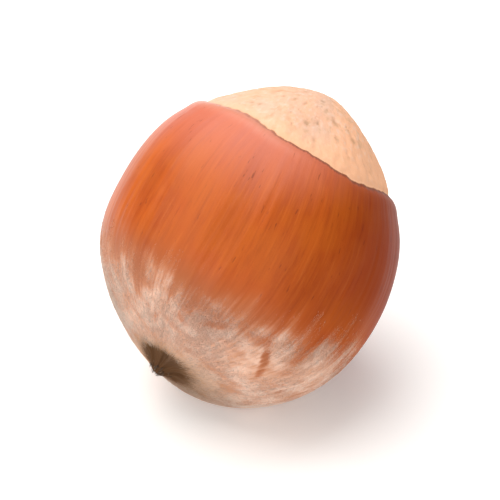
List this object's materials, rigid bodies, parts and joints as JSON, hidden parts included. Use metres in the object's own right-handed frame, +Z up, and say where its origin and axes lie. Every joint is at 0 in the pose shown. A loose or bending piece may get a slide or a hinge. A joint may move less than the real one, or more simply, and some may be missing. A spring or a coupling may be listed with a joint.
{
  "type": "hazelnut",
  "caption": "Whole hazelnut in its shell, resting on a small flat spot with its pale domed base scar up and its small tip down.",
  "frame": {"origin": "middle of the small flat spot that the nut rests on", "axes": "+Z is up. The nut's own axis leans: its base scar faces up, towards +X and +Y, and its tip points down, towards -X and -Y"},
  "size_m": [0.0208, 0.0207, 0.0212],
  "materials": {
    "nut_shell": "satin reddish-brown nut shell, with a matt pale tan base scar and pale down round the tip"
  },
  "bodies": {
    "root": {"hazelnut": "nut_shell"}
  },
  "joints": []
}
